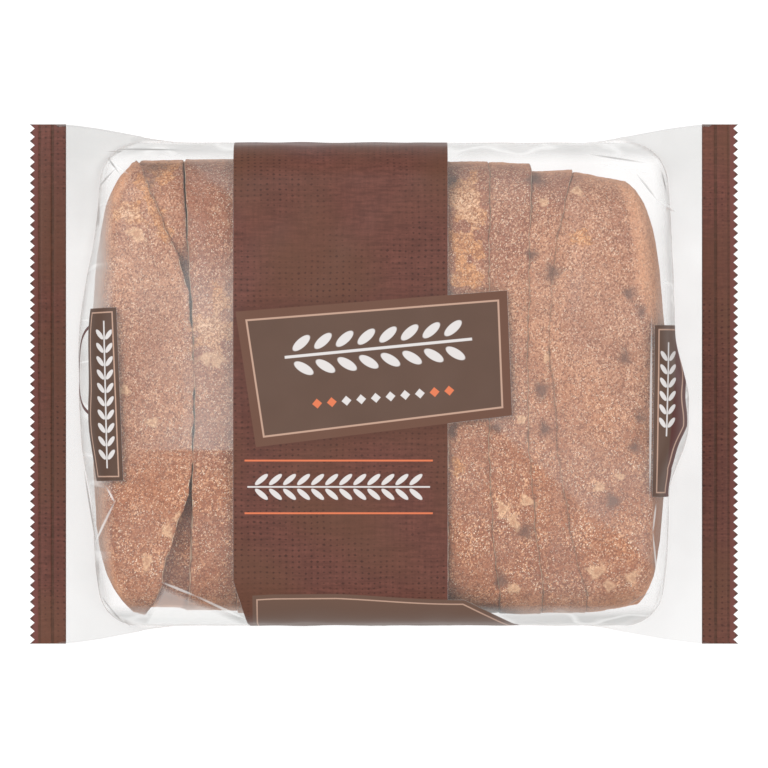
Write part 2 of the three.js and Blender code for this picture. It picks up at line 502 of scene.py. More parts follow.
def crumb_finish(colours):
    """Pale open crumb on the cut faces."""
    fin = Finish("crumb")
    holes = fin.cells(420.0)
    fine = fin.noise(900.0, 3.0, 0.6)
    pores = fin.ramp(holes + (fine - 0.5) * 0.5, 0.34, 0.12)
    base = fin.blend(fine, colours.crumb, CRUMB_LIGHT)
    base = fin.blend(pores * 0.8, base, CRUMB_PORE)
    skin = fin.skin(
        Base_Color=base, Roughness=0.85,
        Normal=fin.bump(holes + fine * 0.4, 0.0008, 0.8))
    return fin.done(skin)


def side_of(x, y, start, end):
    """Distance to the left of the line from start to end, in millimetres."""
    along = (end[0] - start[0], end[1] - start[1])
    length = math.hypot(*along)
    nx, ny = -along[1] / length, along[0] / length
    return x * nx + y * ny - (nx * start[0] + ny * start[1])


def inside_of(x, y, corners):
    """Distance inside a shape with straight sides, whose corners run anticlockwise."""
    distance = None
    for start, end in zip(corners, corners[1:] + corners[:1]):
        edge = side_of(x, y, start, end)
        distance = edge if distance is None else distance.least(edge)
    return distance


def turned(x, y, centre, degrees):
    """Coordinates along and across a direction, from a centre."""
    c, s = math.cos(math.radians(degrees)), math.sin(math.radians(degrees))
    along = x * c + y * s - (centre[0] * c + centre[1] * s)
    across = y * c - x * s - (centre[1] * c - centre[0] * s)
    return along, across


def sprig(fin, along, across, pitch, length, width, lean, offset, reach, stem):
    """A stem with whole grain shapes on both sides: leaning ovals in a row."""
    cell = ((along / pitch).fraction() - 0.5) * pitch
    rise = abs(across) - offset
    c, s = math.cos(math.radians(lean)), math.sin(math.radians(lean))
    lengthwise = (cell * c + rise * s) / length
    crosswise = (rise * c - cell * s) / width
    oval = fin.ramp(lengthwise * lengthwise + crosswise * crosswise, 1.12, 0.88)
    whole = math.floor(reach / pitch) * pitch
    grains = oval * fin.ramp(abs(along), whole + 0.1, whole - 0.1)
    return grains.most(bar(fin, across, 0.0, stem) * fin.ramp(abs(along), whole + 2.1, whole + 1.9))


def diamond_row(fin, along, across, pitch, half, reach):
    cell = ((along / pitch).fraction() - 0.5) * pitch
    shape = fin.ramp(abs(cell) + abs(across), half + 0.1, half - 0.1)
    whole = math.floor(reach / pitch) * pitch
    return shape * fin.ramp(abs(along), whole + 0.1, whole - 0.1)


def bar(fin, value, middle, half):
    return fin.ramp(abs(value - middle), half + 0.08, half - 0.08)


# Places of the print in millimetres, and the softness of its edges.
PLATE_CORNERS = [(-42.3, 20.6), (-36.5, -18.0), (36.5, -9.0), (35.1, 26.7)]
PLATE_TILT = 5.6
EAR_CENTRE = (-1.6, 10.2)
BAND_LEFT = -43.0
BAND_RIGHT = 18.2
# How far the band's left edge moves right on the near side.
BAND_BEND = 4.4
LINE_LEVELS = (-21.8, -36.8)
LINE_MIDDLE_X = -12.9
LINE_HALF = 26.8
WARM_FROM = 12.5
NEAR_PLATE = [(-37.5, 160.0), (-37.5, 60.0), (19.0, 59.6), (39.0, 69.5), (39.0, 160.0)]
NEAR_PLATE_TOP = -60.6
NEAR_PLATE_BOTTOM = 16.0
LEFT_PLATE = [(-120.0, 19.6), (-120.0, -28.2), (-74.2, -27.6), (-76.2, 21.9)]
LEFT_PLATE_BOTTOM = 73.0
RIGHT_PLATE = [(77.1, 16.8), (76.4, -32.2), (120.0, -33.6), (120.0, 17.2)]
RIGHT_PLATE_BOTTOM = 52.0
RIGHT_PLATE_REACH = 86.6
# The torn strip sags to this height at this y, and is this wide.
TORN_HEIGHT = 57.0
TORN_MIDDLE_Y = 4.0
TORN_WIDTH = 2.8
EDGE_SOFT = 0.1
DARK_RED = (0.085, 0.026, 0.022)


def band_print(fin, x, y, z, colours):
    """The woven-looking band round the bag: (where it is printed, its colour)."""
    left = x - BAND_LEFT - fin.ramp(y, -56.0, -70.0) * BAND_BEND
    band = fin.ramp(left, -EDGE_SOFT, EDGE_SOFT) * fin.ramp(BAND_RIGHT - x, -EDGE_SOFT, EDGE_SOFT)
    return band, woven(fin, x, y, z, colours.band)


def front_print(fin, x, y, z, colours):
    """The band with the tilted plate, the two lines and the plate on the near side."""
    band, weave = band_print(fin, x, y, z, colours)
    upper = fin.ramp(z, 40.0, 40.5)
    plate = inside_of(x, y, PLATE_CORNERS)
    along, across = turned(x, y, EAR_CENTRE, PLATE_TILT)
    ear = sprig(fin, along, across, 6.2, 3.1, 1.3, 36.0, 3.6, 27.9, 0.4)
    small = diamond_row(fin, along, across + 14.0, 4.2, 1.4, 23.1)
    warm = fin.ramp(abs(along), WARM_FROM, WARM_FROM + 0.2)

    tone = fin.noise(120.0, 3.0)
    plate_colour = fin.blend(tone, colours.plate, [c * 0.86 for c in colours.plate])
    rim = [c * f for c, f in zip(colours.plate, (1.14, 0.94, 0.86))]
    plate_colour = fin.blend(fin.ramp(plate, 2.6, 2.4), plate_colour, rim)
    plate_colour = fin.blend(bar(fin, plate, 2.7, 0.26), plate_colour, colours.line)
    plate_colour = fin.blend(ear, plate_colour, colours.light_print)
    plate_colour = fin.blend(small * (1 - warm), plate_colour, colours.light_print)
    plate_colour = fin.blend(small * warm, plate_colour, colours.warm_print)

    across_lines = x - LINE_MIDDLE_X
    span = fin.ramp(abs(across_lines), LINE_HALF + 0.1, LINE_HALF - 0.1) * upper
    lines = bar(fin, y, LINE_LEVELS[0], 0.25).most(bar(fin, y, LINE_LEVELS[1], 0.25)) * span
    row = y - sum(LINE_LEVELS) / 2
    kernels = sprig(fin, across_lines, row, 4.0, 2.3, 0.75, 40.0, 2.1, 26.0, 0.22) * upper
    shade = fin.ramp(plate, -3.5, 0.0) * upper * 0.4
    colour = fin.blend(shade, weave, [c * 0.55 for c in colours.band])
    colour = fin.blend(lines, colour, colours.warm_print)
    colour = fin.blend(kernels, colour, colours.light_print)

    top_edge = NEAR_PLATE_TOP - (x * 0.075).sine() * 0.9 - y
    near_side = inside_of(x, -y, NEAR_PLATE).least(top_edge).least(z - NEAR_PLATE_BOTTOM)
    return layered(fin, [
        (band, colour),
        (fin.ramp(plate, -EDGE_SOFT, EDGE_SOFT) * upper, plate_colour),
        label_print(fin, colours, near_side, x, z - 46.0, 30.0, 1.15, z - 30.0),
    ])


def layered(fin, layers):
    """Prints over each other, the last on top: (where any is printed, its colour)."""
    printed, colour = layers[0]
    for where, above in layers[1:]:
        colour = fin.blend(where, colour, above)
        printed = printed.most(where)
    return printed, colour


def label_print(fin, colours, distance, along, across, reach, shade, inner):
    """A plain plate with a thin border and a row of grains: (where it is, its colour)."""
    colour = fin.blend(fin.ramp(inner, -0.3, 0.3), DARK_RED, [c * shade for c in colours.plate])
    colour = fin.blend(bar(fin, distance, 1.3, 0.18), colour, colours.line)
    grains = sprig(fin, along, across, 3.8, 1.65, 0.62, 34.0, 1.3, reach, 0.2)
    colour = fin.blend(grains * fin.ramp(distance, 1.5, 1.7), colour, colours.light_print)
    return fin.ramp(distance, -EDGE_SOFT, EDGE_SOFT), colour


def end_print(fin, x, y, z, colours):
    """Plates that lap over both ends, and a torn dark strip below the left one."""
    wavy = (y * 0.45).sine() * 0.8
    left = inside_of(x, y, LEFT_PLATE).least(z - LEFT_PLATE_BOTTOM)
    right = inside_of(x, y, RIGHT_PLATE).least(z - RIGHT_PLATE_BOTTOM + wavy)
    right = right.least(RIGHT_PLATE_REACH - fin.ramp(y, -12.0, -24.0) * 4.6 + wavy * 0.4 - x)
    off_middle = y - TORN_MIDDLE_Y
    level = z - TORN_HEIGHT - off_middle * off_middle * 0.10
    torn = fin.ramp(level, -0.1, 0.1) * fin.ramp(level, TORN_WIDTH, TORN_WIDTH - 0.2)
    torn = torn * fin.ramp(x, -79.0, -80.0) * fin.ramp(z, 74.0, 73.0) * fin.ramp(z, 44.0, 45.0)
    return layered(fin, [
        (torn, DARK_RED),
        label_print(fin, colours, left, y + 3.0, x + 79.4 + y * 0.023, 22.0, 0.8, x + 87.0),
        label_print(fin, colours, right, y + 1.5, x - 80.9 - y * 0.03, 13.0, 0.9,
                    82.8 + y * 0.08 - x),
    ])


def woven(fin, x, y, z, base):
    """Brown print like a coarse cloth: fine threads, with darker knots on a loose grid."""
    girth = abs(y) - z
    wander = fin.noise(150.0, 1.0) - 0.5
    cell_x = abs(((x + wander * 1.0) / 1.80).fraction() - 0.5)
    cell_y = abs(((girth + wander * 1.4) / 1.62).fraction() - 0.5)
    uneven = fin.noise(520.0, 2.0) - 0.5
    knots = fin.ramp(cell_x + cell_y * 1.15 + uneven * 0.55, 0.30, 0.10)
    patches = fin.ramp(fin.noise(48.0, 2.0), 0.38, 0.58)
    weft = fin.noise(420.0, 2.0, 0.6, (0.5, 3.0, 1.0))
    warp = fin.noise(420.0, 2.0, 0.6, (3.0, 0.5, 1.0))
    colour = fin.blend(fin.ramp(weft, 0.32, 0.68), [c * 0.80 for c in base],
                       [c * 1.20 for c in base])
    colour = fin.blend(fin.ramp(warp, 0.62, 0.36) * 0.35, colour, [c * 0.62 for c in base])
    colour = fin.blend(fin.ramp(fin.noise(30.0, 1.0), 0.42, 0.58) * 0.6, colour,
                       (base[0] * 0.90, base[1] * 1.10, base[2] * 0.84))
    return fin.blend(knots * (0.12 + patches * 0.7), colour, [c * 0.34 for c in base])


# Levels in millimetres: the fins' middle, and between which heights the film's look changes.
FIN_MIDDLE = 38.0
HAZE_LEVELS = (52.0, 66.0)
SLACK_LEVELS = (48.0, 66.0)
# Between these x in millimetres the film's upper part carries the band and the plate.
PRINTED_PART = (-46.0, 42.0)
# Where the slack film over the near left corner looks milky.
MILKY_CORNER = [(-75.0, -80.0), (-38.0, -80.0), (-38.8, -68.4), (-54.2, -60.9), (-63.2, -57.1)]
# The lower edge of the milky film right of the plate, with painted glare along it.
MILKY_GLARE_EDGE = ((28.0, -10.0), (59.0, -37.0))
# Painted glare: the whitish patch left of the band where the film shows the softboxes' reflection:
# left, right, near and far edge.
GLARE_PATCH = (-66.0, -40.0, -19.2, 34.0)
# Faint haze on the left end slice, and the paler film over that end: from and to in x and y.
HEEL_HAZE = ((-60.0, -68.0), (-34.0, -10.0))
PALE_END = ((-77.5, -81.0), (6.0, 22.0))
# The film is slack from these distances outwards, along the sides and over the ends.
SLACK_SIDE = (63.0, 66.5)
SLACK_END = (77.0, 82.0)
# Where it lies tight on the right end slice: left, right, near and far edge.
TIGHT_END = (76.0, 82.5, -60.0, -30.0)
# How much of the light the clear film takes: everywhere, in the painted glare patch, where it is
# slack, and how much more where it is slack on the near side.
PLAIN_SHARE = 0.075
GLARE_SHARE = 0.13
SLACK_SHARE = 0.32
NEAR_SLACK_SHARE = 0.14
MILKY_WHITE = (0.82, 0.82, 0.81)
FOLD_SHADE_GREY = (0.30, 0.29, 0.28)
# Painted highlights and painted shade: thin bright and grey lines where the slack film is folded,
# as (start, end, half width) in millimetres. The last bright one is a painted pale strip that
# lightens the shade beside the right plate.
FOLD_GLINTS = (
    ((-79.0, -29.5), (-76.6, -33.8), 0.4), ((-76.6, -33.4), (-83.0, -46.0), 0.45),
    ((-63.0, -56.6), (-53.6, -60.4), 0.5), ((-54.0, -60.2), (-38.6, -67.6), 0.5),
    ((78.0, 52.4), (84.0, 50.2), 0.5), ((77.6, -34.0), (76.6, -42.4), 0.35),
    ((76.6, -42.0), (78.0, -55.6), 0.35), ((74.6, -62.4), (78.2, -55.2), 0.4),
    ((-79.5, 64.0), (-73.0, 60.0), 0.5), ((62.0, 62.6), (74.6, 60.2), 0.4),
    ((76.2, 17.0), (75.7, -31.0), 0.45),
)
FOLD_SHADES = (
    ((-79.0, 67.4), (-58.6, 66.8), 0.35), ((59.4, 65.4), (74.2, 63.2), 0.35),
    ((72.2, 59.6), (77.4, 53.0), 0.35), ((79.4, 61.2), (81.0, 54.6), 0.35),
    ((69.6, -63.0), (75.6, -59.6), 0.35), ((-79.6, 65.4), (-75.6, 60.2), 0.35),
    ((-76.8, 61.4), (-82.2, 56.2), 0.35), ((-82.6, 53.0), (-82.8, 44.0), 0.3),
    ((-87.6, 10.6), (-88.0, 4.0), 0.3), ((-86.8, -26.0), (-83.6, -45.4), 0.3),
    ((-83.0, -50.8), (-81.8, -60.0), 0.35), ((-81.8, -60.0), (-74.0, -69.8), 0.35),
)


def film_finish(name, colours, print_on, low, high):
    """Clear glossy film with its print, hazy where it lies on the loaf and creased where slack,
    with painted glare patches and painted highlights and shade along its folds.
    """
    fin = Finish(name)
    x, y, z = fin.place()
    printed, print_colour = print_on(fin, x, y, z, colours)
    waves = fin.noise(60.0, 1.0)
    clouds = fin.noise(42.0, 2.0)
    haze = fin.ramp(clouds, 0.42, 0.68) * 0.04
    ragged = (clouds - 0.5) * 14.0
    # Painted glare: a whitish patch on the film left of the band.
    left, right, near, far = GLARE_PATCH
    patch = fin.ramp(x + ragged, left - 8.0, left + 10.0) * fin.ramp(x, right + 3.0, right)
    patch = patch * fin.ramp(y, near, near + 0.8) * fin.ramp(y + ragged, far + 8.0, far - 8.0)
    haze = haze + patch * GLARE_SHARE
    high_up = fin.ramp(z, *HAZE_LEVELS)
    # Painted glare along the lower edge of the milky film right of the plate.
    beyond = side_of(x, y, *MILKY_GLARE_EDGE) + ragged * 0.25
    right_end = fin.ramp(beyond, -0.5, 1.5) * (0.024 + fin.ramp(beyond, 26.0, 4.0) * 0.042)
    left_end = fin.ramp(x + ragged, *HEEL_HAZE[0]) * fin.ramp(y + ragged, *HEEL_HAZE[1]) * 0.03
    haze = haze + (left_end + right_end) * high_up
    pale_end = fin.ramp(x, *PALE_END[0]) * fin.ramp(y + ragged, *PALE_END[1]) * 0.4
    milky = fin.ramp(inside_of(x, y, MILKY_CORNER), 0.0, 1.6).most(pale_end) * high_up
    flat = fin.ramp(abs(z - FIN_MIDDLE), 2.2, 0.8)
    left, right, near, far = TIGHT_END
    tight_end = (fin.ramp(x, left, left + 1.0) * fin.ramp(x, right, right - 2.0)
                 * fin.ramp(y, far, far - 2.5) * fin.ramp(y, near, near + 6.0))
    slack = fin.ramp(abs(y), *SLACK_SIDE).most(fin.ramp(abs(x), *SLACK_END))
    slack = slack * fin.ramp(z, *SLACK_LEVELS) * (1 - tight_end * 0.85)
    dull = SLACK_SHARE + fin.ramp(y, -50.0, -60.0) * NEAR_SLACK_SHARE
    crumple = fin.noise(75.0, 2.0, 0.55, (0.4, 1.0, 0.0))
    crease = fin.ramp(abs(crumple - 0.5), 0.035, 0.006) * slack
    shadow = fin.ramp(fin.noise(95.0, 2.0, 0.5, (0.5, 1.0, 0.0)), 0.46, 0.70) * slack
    # Painted highlights and painted shade along the film's folds.
    glints = fin.strokes(folds_between(FOLD_GLINTS, low, high))
    fold_shade = fin.strokes(folds_between(FOLD_SHADES, low, high))
    fins = flat * (0.02 + fin.ramp(x, 60.0, -60.0) * 0.06 + fin.ramp(y, 38.0, 66.0) * 0.15)
    edge = fin.node("LayerWeight", "Facing", None, {"Blend": 0.35})
    veiled = (PLAIN_SHARE + haze + milky * (0.10 + clouds * 0.20) + fins + slack * dull
              + crease * 0.10 + shadow * 0.14 + edge ** 3.0 * (0.06 + clouds * 0.25)
              + glints * 0.38 + fold_shade * 0.35).least(0.9)
    base = fin.blend(flat.most(slack), colours.veil, colours.fin_veil)
    base = fin.blend(milky.most(crease * 0.7).most(glints), base, MILKY_WHITE)
    base = fin.blend(fold_shade, base, FOLD_SHADE_GREY)
    base = fin.blend(printed, base, print_colour)
    skin = fin.skin(
        Base_Color=base, Roughness=0.38 + printed * 0.1, Specular_IOR_Level=0.2,
        Metallic=(1 - printed) * 0.15, Normal=fin.bump(waves, 0.003, 0.3))
    return fin.done(fin.clear(printed.most(veiled), skin))


def folds_between(folds, low, high):
    """The folds that reach in between low and high along the bag."""
    return [fold for fold in folds
            if max(fold[0][0], fold[1][0]) > low and min(fold[0][0], fold[1][0]) < high]


def underside_finish(colours):
    """The clear film and the band's print below the loaf."""
    fin = Finish("film_underside")
    x, y, z = fin.place()
    printed, print_colour = band_print(fin, x, y, z, colours)
    waves = fin.noise(60.0, 1.0)
    base = fin.blend(printed, colours.veil, print_colour)
    skin = fin.skin(
        Base_Color=base, Roughness=0.38 + printed * 0.1, Specular_IOR_Level=0.2,
        Normal=fin.bump(waves, 0.003, 0.3))
    return fin.done(fin.clear(printed.most(0.09 + fin.ramp(waves, 0.4, 0.7) * 0.06), skin))


# Lines pressed into the seals, in metres from the bag's middle, and the seals' colours: towards
# the teeth, at their tips and in the lines.
CRIMP_LINES = (0.0998, 0.0961)
SEAL_RED = (0.146, 0.049, 0.040)
SEAL_TIP = (0.050, 0.030, 0.022)
SEAL_LINE = (0.062, 0.028, 0.016)


def seal_finish(colours):
    """Brown crimped seal: pressed lines along it and a fine woven pattern across."""
    fin = Finish("crimped_seal")
    x, y, z = fin.place()
    out = abs(x)
    weave = woven(fin, x, y, z, [c * 1.10 for c in colours.band])
    stitch = fin.noise(900.0, 2.0, 0.6, (0.3, 1.0, 1.0))
    broken = fin.ramp(stitch, 0.34, 0.60)
    outer, inner = (bar(fin, out, line / MM, half) for line, half in zip(CRIMP_LINES, (0.3, 0.42)))
    lines = (inner * (0.35 + broken * 0.5)).most(outer * 0.4)
    edge = fin.ramp(out, 92.6, 92.3) * 0.5
    colour = fin.blend(fin.ramp(out, 100.2, 100.5), weave, SEAL_RED)
    colour = fin.blend(fin.ramp(out, 101.6, 102.3) * 0.85, colour, SEAL_TIP)
    colour = fin.blend(lines.most(edge), colour, SEAL_LINE)
    skin = fin.skin(
        Base_Color=colour, Roughness=0.5, Specular_IOR_Level=0.2,
        Normal=fin.bump(stitch * 0.5 - lines, 0.0003, 0.5))
    return fin.done(skin)


def seam_finish():
    """The lapped back seam, a milky double layer of clear film."""
    fin = Finish("back_seam")
    ribs = fin.noise(300.0, 2.0, 0.5, (8.0, 0.5, 1.0))
    skin = fin.skin(
        Base_Color=(0.80, 0.80, 0.78), Roughness=0.25 + ribs * 0.1, Specular_IOR_Level=0.6,
        Normal=fin.bump(ribs, 0.0004, 0.5))
    return fin.done(fin.clear(0.30 + ribs * 0.1, skin))


def floor_finish(glow):
    """Pale even floor that gives off some light, so that it looks white."""
    fin = Finish("pale_floor")
    grain = fin.noise(9.0, 2.0)
    base = fin.blend(grain, (0.19, 0.19, 0.19), (0.21, 0.21, 0.21))
    return fin.done(fin.skin(
        Base_Color=base, Roughness=0.7, Emission_Color=(1.0, 1.0, 1.0),
        Emission_Strength=glow))


# Film bag

SHOULDER_X = 0.076
ROOT_X = 0.088
END_POWER = 3.0
END_BOW = 0.0035
CORNER_RADIUS = 0.010
SETBACK_START_X = 0.050
SETBACK_END_X = 0.092
FILLET = 0.07
FILLET_REACH = 0.005
LEVEL_BELOW = 0.006
FLARE_START_X = 0.053
FLARE_END_X = 0.096
EAR_FULL_WIDTH = 0.0025
# Each end bulges in its middle and hugs the loaf beside it: the bulge's y, its half width, the
# width over which the film sinks back, and how far on the near and the far side.
LEFT_HUG = (0.004, 0.008, 0.040, 0.0033, 0.0040)
RIGHT_HUG = (-0.008, 0.003, 0.020, 0.0050, 0.0040)
EAR_TOP = 0.0075
EDGE_RADIUS = 0.012
END_EDGE_RADIUS = 0.020
END_EDGE_DROP = 0.5
TOP_CROWN = 0.0014
SIDE_BULGE = 0.0026
FIN_HALF = 0.00015
GAP_DIPS = ((-0.0575, 0.0045, 0.0016), (0.052, 0.0035, 0.0008))

TOP_STEPS = 34
EDGE_STEPS = 9
SIDE_STEPS = 8
EAR_STEPS = 6
END_STEPS = 20
FIN_STEPS = 7
STATION_STEP = 0.0014


def height_share(distance):
    """1 on the body, falling to 0 on the fin."""
    if distance <= SHOULDER_X:
        return 1.0
    if distance >= ROOT_X:
        return FILLET * (1 - min(1.0, (distance - ROOT_X) / FILLET_REACH)) ** 3
    along = (distance - SHOULDER_X) / (ROOT_X - SHOULDER_X)
    return FILLET + (1 - FILLET) * (1 - along ** END_POWER) ** (1 / END_POWER)


def setback(bag, station, y):
    """How far behind its station a point at y lies."""
    distance = abs(station)
    half = bag.body_width / 2
    out = np.minimum(np.abs(y), half)
    bend = np.clip((out - half + CORNER_RADIUS) / CORNER_RADIUS, 0, 0.995)
    middle, reach, slope, near, far = LEFT_HUG if station < 0 else RIGHT_HUG
    full = (END_BOW * (out / half) ** 2.5 + near * smooth((middle - y - reach) / slope)
            + far * smooth((y - middle - reach) / slope)
            + CORNER_RADIUS * (1 - np.sqrt(1 - bend ** 2)))
    growing = smooth((distance - SETBACK_START_X) / (ROOT_X - SETBACK_START_X))
    fading = 1 - smooth((distance - ROOT_X) / (SETBACK_END_X - ROOT_X))
    return full * growing * fading


def quarter(bag, station, full_height):
    """A quarter of the film's cross-section, as (y, height above the fins)."""
    distance = abs(station)
    half = bag.body_width / 2
    height = FIN_HALF + (full_height - FIN_HALF) * height_share(distance)
    turn = smooth((distance - SHOULDER_X + EDGE_RADIUS) / (ROOT_X - SHOULDER_X + EDGE_RADIUS))
    flat = smooth((LEVEL_BELOW - height) / (LEVEL_BELOW - FIN_HALF))
    radius_y = min(mix(EDGE_RADIUS, END_EDGE_RADIUS, turn), height)
    radius_z = min(mix(EDGE_RADIUS, END_EDGE_DROP * height, turn), END_EDGE_DROP * height)
    bulge = SIDE_BULGE * height_share(distance)

    def side(level):
        return half - bulge * (level / full_height) ** 2

    edge_y = side(height - radius_z) - radius_y
    low = max(FIN_HALF, min(EAR_TOP, 0.5 * (height - radius_z)))
    steps = np.arange(TOP_STEPS) / TOP_STEPS
    top = np.column_stack([edge_y * steps, np.full(TOP_STEPS, height)])
    angle = np.linspace(0, math.pi / 2, EDGE_STEPS + 1)
    arc = np.column_stack([edge_y + radius_y * np.sin(angle),
                           height - radius_z * (1 - np.cos(angle))])
    down = mix(height - radius_z, low, np.arange(1, SIDE_STEPS) / SIDE_STEPS)
    turned_over = np.vstack([arc, np.column_stack([side(down), down])])

    behind = float(setback(bag, station, half))
    flare = smooth((distance - behind - FLARE_START_X) / (FLARE_END_X - FLARE_START_X))
    ear = (bag.fin_width - bag.body_width) / 2 * flare
    leaving = min(1.0, ear / EAR_FULL_WIDTH)
    outwards = np.linspace(0, 1, EAR_STEPS)
    upright = mix(low, FIN_HALF, outwards ** 0.8)
    outer = np.column_stack([half + ear * outwards, mix(upright, FIN_HALF, leaving)])

    level = half - EDGE_RADIUS

    def levelled(points, start, end):
        spread = mix(start, end, np.arange(len(points)) / len(points))
        return np.column_stack([mix(points[:, 0], spread, flat),
                                mix(points[:, 1], FIN_HALF, flat)])

    return np.vstack([levelled(top, 0.0, level), levelled(turned_over, level, half), outer])


def ring(bag, station):
    """The whole cross-section at a station, as (y, height), round from the top's middle."""
    upper = quarter(bag, station, bag.height - bag.fin_level)
    lower = quarter(bag, station, bag.fin_level - bag.under_gap)[::-1] * (1, -1)
    half = np.vstack([upper, lower])
    mirrored = half[1:-1][::-1] * (-1, 1)
    return np.vstack([half, mirrored, half[:1]])


def stations(bag):
    angle = np.linspace(0, math.pi / 2, END_STEPS + 1)
    turn = SHOULDER_X + (ROOT_X - SHOULDER_X) * np.sin(angle) ** (2 / END_POWER)
    last = bag.half_length - bag.seal_depth + 0.003
    fin = np.linspace(ROOT_X, last, FIN_STEPS + 1)[1:]
    count = round(2 * SHOULDER_X / STATION_STEP)
    body = np.linspace(-SHOULDER_X, SHOULDER_X, count + 1)[1:-1]
    end = np.concatenate([turn, fin])
    return np.concatenate([-end[::-1], body, end])


# Folds of the film on its upper face: start, end, half width and height, in millimetres.
# A negative height is a crease and a positive one a ridge.
FOLDS = (
    ((-79.0, 67.2), (-59.0, 66.4), 0.9, 0.7),
    ((-83.0, 56.0), (-76.5, 63.5), 0.9, 0.9),
    ((-84.5, 46.0), (-78.5, 59.0), 0.7, -0.7),
    ((-80.0, 66.0), (-71.0, 58.0), 0.8, 0.8),
    ((-78.9, -29.5), (-77.3, -33.5), 0.9, 0.9),
    ((-77.3, -33.5), (-83.0, -45.7), 0.9, 0.9),
    ((-63.2, -57.1), (-54.2, -60.9), 1.0, 0.9),
    ((-54.2, -60.9), (-38.8, -66.0), 1.0, 0.7),
    ((74.2, 57.7), (77.7, 49.0), 0.8, 0.9),
    ((60.0, 65.5), (74.0, 64.3), 0.7, 0.8),
    ((60.0, 63.0), (70.0, 62.0), 0.6, -0.6),
    ((81.0, 62.0), (80.5, 50.0), 0.7, 0.8),
    ((79.0, 47.5), (85.8, 48.5), 1.1, 0.9),
    ((71.0, -66.5), (79.0, -58.0), 0.8, 0.8),
    ((60.0, -64.8), (75.0, -66.0), 0.8, 0.7),
    ((20.0, 66.8), (60.0, 66.4), 0.8, 0.5),
    ((22.0, -65.2), (58.0, -65.6), 0.9, 0.5),
)


def fold_lift(x, y):
    """Height that the folds add at x, y."""
    lift = np.zeros_like(x)
    for start, end, width, height in FOLDS:
        a, b = np.array(start) * MM, np.array(end) * MM
        along = b - a
        t = ((x - a[0]) * along[0] + (y - a[1]) * along[1]) / (along @ along)
        near = np.clip(t, 0, 1)
        away = np.hypot(x - a[0] - near * along[0], y - a[1] - near * along[1])
        lift += height * MM * np.exp(-(away / (width * MM)) ** 2)
    return lift


# How far the slow waves move the film's top, its sides and its ends.
TOP_WAVE = 0.00035
SIDE_WAVE = 0.0006
END_WAVE = 0.0009
WAVE_LENGTHS = (0.011, 0.034)


def ripple(x, y, seed):
    """Slow waves of the slack film, from a few sines with drawn directions."""
    draw = random.Random(seed)
    total = np.zeros_like(x)
    for _ in range(9):
        angle = draw.uniform(0, math.pi)
        length = draw.uniform(*WAVE_LENGTHS)
        phase = draw.uniform(0, 2 * math.pi)
        wave = (x * math.cos(angle) + y * math.sin(angle)) * 2 * math.pi / length
        total += np.sin(wave + phase) * length / WAVE_LENGTHS[1]
    return total / 9


def film_points(bag):
    rows = []
    for station in stations(bag):
        section = ring(bag, station)
        y, height = section[:, 0], section[:, 1]
        x = station - np.sign(station) * setback(bag, station, y)
        top = smooth(height / (bag.height - bag.fin_level))
        fall = TOP_CROWN * np.minimum(1, np.abs(y) / (bag.body_width / 2)) ** 2
        for middle, spread, depth in GAP_DIPS:
            fade = 1 - smooth((np.abs(y) - 0.050) / 0.012)
            fall = fall + depth * fade * np.exp(-((x - middle) / spread) ** 2)
        z = bag.fin_level + height - fall * top ** 4
        rows.append(np.column_stack([x, y, z]))
    points = np.array(rows)
    points[[0, -1], :, 2] = bag.fin_level
    return points


def slacken(bag, points):
    """Adds the folds and the slow waves that real film has."""
    x, y, z = points[..., 0], points[..., 1], points[..., 2]
    height = z - bag.fin_level
    upper = smooth(height / 0.012)
    fin = smooth((np.abs(x) - ROOT_X) / 0.003)
    z += fold_lift(x, y) * upper
    z += ripple(x, y, 4) * TOP_WAVE * upper
    free = smooth((np.abs(y) - 0.060) / 0.006) * (1 - fin) * (np.abs(x) < 0.07)
    y += np.sign(y) * ripple(x, z, 9) * SIDE_WAVE * free
    steep = smooth((np.abs(x) - 0.078) / 0.004) * (1 - fin)
    x += np.sign(x) * ripple(y, z, 13) * END_WAVE * steep
    return points


class BREADBAG_OT_film(bpy.types.Operator):
    """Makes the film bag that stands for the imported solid"""

    bl_idname = "breadbag.film"
    bl_label = "Film bag"

    def execute(self, context):
        bag = context.scene.bag_sizes
        film = sheet_piece("film_bag", slacken(bag, film_points(bag)))
        colours = context.scene.bag_colours
        low, high = PRINTED_PART
        film.data.materials.append(film_finish("printed_film", colours, front_print, low, high))
        film.data.materials.append(film_finish("clear_film", colours, end_print, -100.0, 100.0))
        film.data.materials.append(underside_finish(colours))
        x, _, z = face_values(film, "center").T / MM
        middle = (x > low) & (x < high)
        region = np.where(z < 30.0, 2, np.where(middle, 0, 1))
        film.data.polygons.foreach_set("material_index", region.astype(np.int32))
        finish_piece(film)
        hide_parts(BAG)
        return {"FINISHED"}


class BREADBAG_OT_seals(bpy.types.Operator):
    """Makes the two toothed crimped seals"""

    bl_idname = "breadbag.seals"
    bl_label = "Seals"

    def execute(self, context):
        bag = context.scene.bag_sizes
        material = seal_finish(context.scene.bag_colours)
        for name, side in (("seal_left", -1), ("seal_right", 1)):
            seal = sheet_piece(name, seal_points(bag, side))
            bpy.ops.object.shade_smooth_by_angle(angle=math.radians(50))
            seal.data.materials.append(material)
            finish_piece(seal)
        return {"FINISHED"}


SEAL_ROWS = 26
SEAL_HALF = 0.0003
CRIMP_HALF_WIDTH = 0.00035
CRIMP_DEPTH = 0.00014
SEAL_RIB_HEIGHT = 0.00002
SEAL_RIB_PITCH = 0.0019
SEAL_WAVE = 0.0004


